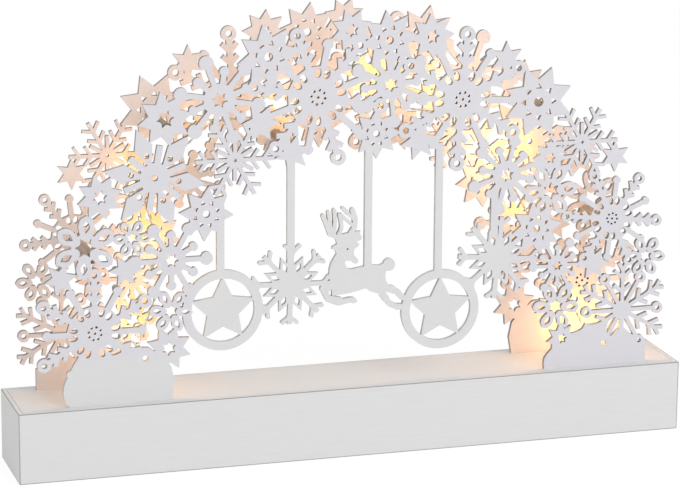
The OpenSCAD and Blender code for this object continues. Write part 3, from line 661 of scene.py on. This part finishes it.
def wire_route():
    """Corners of the wire's way from the timer card through the sleeve and past each lamp, in metres."""
    card, sleeve = middle("timer_card"), middle("wire_sleeve")
    card_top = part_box("timer_card")[0][2] + CARD_T
    board_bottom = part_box("top_board")[0][2]
    run_z = board_bottom - 2 * WIRE_BEND
    lamps = [middle(f"lamp_{i + 1}") for i in range(LAMPS)]
    low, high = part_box("lamp_collar_1")
    wire_y = high[1] + WIRE_CLEAR + WIRE_D / 2
    aside = (high[0] - low[0]) / 2 + WIRE_CLEAR + WIRE_D / 2
    route = [
        Vector((card[0], 0, card_top)),
        Vector((card[0], 0, run_z)),
        Vector((sleeve[0] + WIRE_BEND, 0, run_z)),
        Vector((sleeve[0], sleeve[1], run_z + WIRE_BEND)),
        Vector((sleeve[0], sleeve[1], BASE_TOP + WIRE_BEND)),
        Vector((sleeve[0], wire_y, BASE_TOP + 2 * WIRE_BEND)),
    ]
    for i in range(LAMPS):
        before, after = lamps[max(i - 1, 0)], lamps[min(i + 1, LAMPS - 1)]
        way = Vector((after[0] - before[0], after[2] - before[2])).normalized()
        route.append(Vector((lamps[i][0] + aside * way.y, wire_y, lamps[i][2] - aside * way.x)))
    return route


def twin_wire():
    """Two thin insulated wires twisted round each other along the route."""
    data = bpy.data.curves.new("twin_wire", "CURVE")
    data.dimensions = "3D"
    data.bevel_depth = WIRE_D / 4
    data.bevel_resolution = 2
    data.use_fill_caps = True
    route = wire_route()
    places = []
    for start, end in zip(route, route[1:]):
        steps = max(2, round((end - start).length / WIRE_STEP))
        places += [start.lerp(end, k / steps) for k in range(steps)]
    places.append(route[-1])
    for half in (0, math.pi):
        spline = data.splines.new("POLY")
        spline.points.add(len(places) - 1)
        for k, place in enumerate(places):
            way = (places[min(k + 1, len(places) - 1)] - places[max(k - 1, 0)]).normalized()
            across = way.cross(Vector((0, 1, 0))).normalized()
            turn = half + 2 * math.pi * k * WIRE_STEP / WIRE_TWIST
            offset = across * math.cos(turn) + way.cross(across) * math.sin(turn)
            spline.points[k].co = (*(place + offset * WIRE_D / 4), 1)
    return placed("twin_wire", data)


def soften(names, width):
    """Eased edges, as sanding and paint leave them."""
    for name in names:
        bevel = NODES[name].modifiers.new("eased_edges", "BEVEL")
        bevel.width = width
        bevel.segments = 2
        bevel.limit_method = "ANGLE"
        bevel.harden_normals = False


def light(name, kind, power, place, aim):
    """The settings of a new light that looks from its place at its aim."""
    data = bpy.data.lights.new(name, kind)
    data.energy = power
    piece = placed(name, data)
    piece.location = place
    piece.rotation_euler = (Vector(aim) - Vector(place)).to_track_quat("-Z", "Y").to_euler()
    return data


def light_lamps():
    """A beam from each lamp's dome to the rear sheet, and a weaker glow all round it."""
    for number, (aim, strength) in enumerate(beam_places(), 1):
        name = f"lamp_{number}"
        x, _, z = middle(name)
        place = (x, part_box(name)[1][1] + GLOW_AHEAD, z)
        beam = light("beam_" + name, "SPOT", BEAM_POWER * strength, place, aim)
        beam.color = BEAM
        beam.spot_size = math.radians(BEAM_SPREAD)
        beam.spot_blend = 1.0
        halo = light("halo_" + name, "POINT", HALO_POWER * strength, place, aim)
        halo.color = HALO
        for data in (beam, halo):
            data.shadow_soft_size = GLOW_SIZE


def studio_lamps():
    for name, place, power in STUDIO_LAMPS:
        data = light(name, "AREA", power, place, STUDIO_AIM)
        data.size = STUDIO_LAMP_SIZE


def seen_directly(tree):
    """1 for rays that show the background: from the camera, reflected, or passing through."""
    path = tree.nodes.new("ShaderNodeLightPath")
    seen = math_node(tree, "MAXIMUM", path.outputs["Is Camera Ray"], path.outputs["Is Glossy Ray"])
    return math_node(tree, "MAXIMUM", seen, path.outputs["Is Transmission Ray"])


def world_light():
    """White background that lights the object at a lower level."""
    world = bpy.data.worlds.new("studio")
    bpy.context.scene.world = world
    world.use_nodes = True
    tree = world.node_tree
    background = tree.nodes["Background"]
    background.inputs["Color"].default_value = (1, 1, 1, 1)
    level = math_node(tree, "MAXIMUM", seen_directly(tree), WORLD_LEVEL)
    tree.links.new(level, background.inputs["Strength"])


def studio_floor():
    """Pale floor that looks white and keeps a faint shadow."""
    bpy.ops.mesh.primitive_circle_add(
        vertices=FLOOR_SIDES, radius=FLOOR_REACH, fill_type="NGON", location=(0, 0, -FLOOR_DROP))
    floor = bpy.context.object
    floor.name = "studio_floor"
    mat, tree, shader = new_material("studio_white")
    shader.inputs["Base Color"].default_value = (FLOOR_GREY, FLOOR_GREY, FLOOR_GREY, 1)
    shader.inputs["Roughness"].default_value = 1.0
    shader.inputs["Specular IOR Level"].default_value = 0.0
    glow = tree.nodes.new("ShaderNodeEmission")
    glow.inputs["Strength"].default_value = FLOOR_GLOW
    blend = tree.nodes.new("ShaderNodeMixShader")
    tree.links.new(math_node(tree, "MULTIPLY", seen_directly(tree), FLOOR_GLOW_SHARE), blend.inputs[0])
    tree.links.new(shader.outputs[0], blend.inputs[1])
    tree.links.new(glow.outputs[0], blend.inputs[2])
    tree.links.new(blend.outputs[0], tree.nodes["Material Output"].inputs["Surface"])
    floor.data.materials.append(mat)


def photo_camera():
    forward = Vector((
        math.sin(CAMERA_YAW) * math.cos(CAMERA_PITCH),
        math.cos(CAMERA_YAW) * math.cos(CAMERA_PITCH),
        -math.sin(CAMERA_PITCH),
    ))
    level = Vector((math.cos(CAMERA_YAW), -math.sin(CAMERA_YAW), 0))
    over = level.cross(forward)
    right = level * math.cos(CAMERA_ROLL) + over * math.sin(CAMERA_ROLL)
    up = over * math.cos(CAMERA_ROLL) - level * math.sin(CAMERA_ROLL)
    data = bpy.data.cameras.new("camera")
    data.sensor_width = SENSOR
    data.lens = FOCAL_PX * SENSOR / PHOTO_WIDTH
    data.shift_x = (PHOTO_WIDTH / 2 - CENTRE_PX[0]) / PHOTO_WIDTH
    data.shift_y = (CENTRE_PX[1] - PHOTO_HEIGHT / 2) / PHOTO_WIDTH
    data.clip_end = CLIP_END
    camera = placed("camera", data)
    turn = Matrix((right, up, -forward)).transposed()
    camera.matrix_world = Matrix.Translation(CAMERA_PLACE) @ turn.to_4x4()
    bpy.context.scene.camera = camera


photo_camera()
dress_all()
soften(BOARDS, EASED_EDGE)

# The rear lace is the front one turned round, so its side is -1
for stem, side, paint, inner_paint, inner in (
    # The front lace's paint is lighter on its scene: painted light from the lamps near it
    ("front", 1, LACE_PAINT, SCENE_PAINT_LIT, in_the_arch),
    # The rear lace's paint is tinted warm all over and warmer still round each beam: painted lamp glow
    ("rear", -1, REAR_PAINT_IN_LAMP_GLOW, PAINTED_BEAM_GLOW, painted_glow_near_a_beam),
):
    sheet = stem + "_sheet"
    lace = cut_lace(stem + "_lace", sheet, side)
    lace.data.materials.append(sheet_paint(stem + "_lace_paint", sheet, side, paint, inner_paint, inner))
    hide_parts(sheet)
    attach(lace, "root")

wire = twin_wire()
wire.data.materials.append(moulded("wire_skin", WIRE_SKIN, rough=0.5))
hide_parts("lamp_wire")
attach(wire, "root")

light_lamps()
world_light()
studio_lamps()
studio_floor()

bpy.context.scene.view_settings.view_transform = "Standard"
